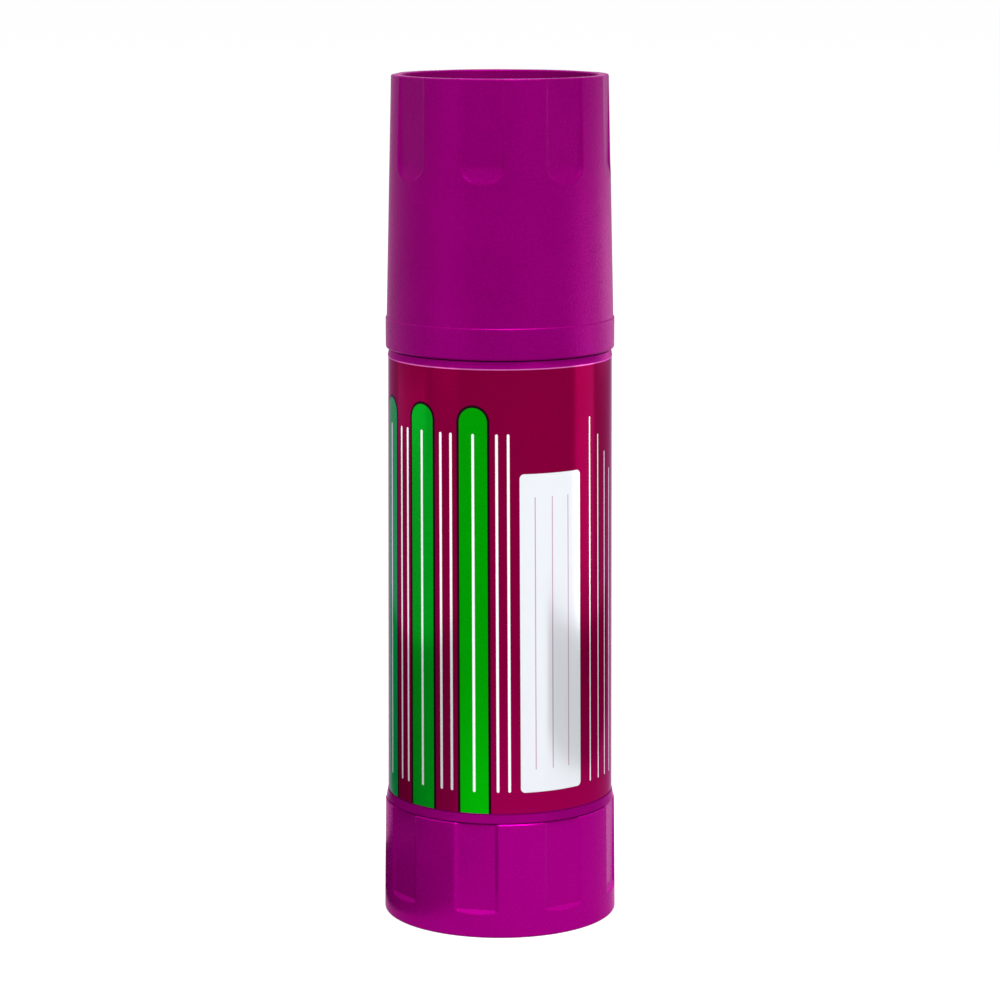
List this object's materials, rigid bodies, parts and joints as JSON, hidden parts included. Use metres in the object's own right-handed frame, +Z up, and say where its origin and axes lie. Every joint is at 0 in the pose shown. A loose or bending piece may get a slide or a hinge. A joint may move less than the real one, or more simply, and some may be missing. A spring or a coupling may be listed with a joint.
{
  "type": "glue stick",
  "caption": "Upright twist-up glue stick: fluted push-on cap, labelled barrel and a turning knob that drives the glue up on a screw.",
  "frame": {"origin": "middle of the foot, on the surface it stands on", "axes": "+Z up the stick's axis towards the cap, -Y towards the label's front"},
  "size_m": [0.031, 0.031, 0.1114],
  "materials": {
    "cap_plastic": "satin",
    "barrel_plastic": "satin",
    "knob_plastic": "semi-gloss",
    "label_film": "gloss print",
    "screw_plastic": "natural",
    "glue_solid": "waxy"
  },
  "bodies": {
    "barrel": {"barrel": "barrel_plastic", "label": "label_film"},
    "cap": {"cap": "cap_plastic"},
    "knob": {"knob": "knob_plastic", "spindle": "screw_plastic"},
    "carrier": {"carrier": "screw_plastic", "glue": "glue_solid"}
  },
  "joints": [
    {"name": "cap_slide", "type": "slide", "parent": "barrel", "child": "cap", "axis": [0, 0, 1], "range_m": [0, 0.05]},
    {"name": "knob_turn", "type": "hinge", "parent": "barrel", "child": "knob", "pos_m": [0, 0, 0], "axis": [0, 0, 1], "range_deg": [-2401, 1081]},
    {"name": "carrier_lift", "type": "slide", "parent": "barrel", "child": "carrier", "axis": [0, 0, 1], "range_m": [-0.04, 0.018]}
  ],
  "couplings": [
    {"joint": "knob_turn", "follows": "carrier_lift", "rad_per_m": 1047.2}
  ]
}
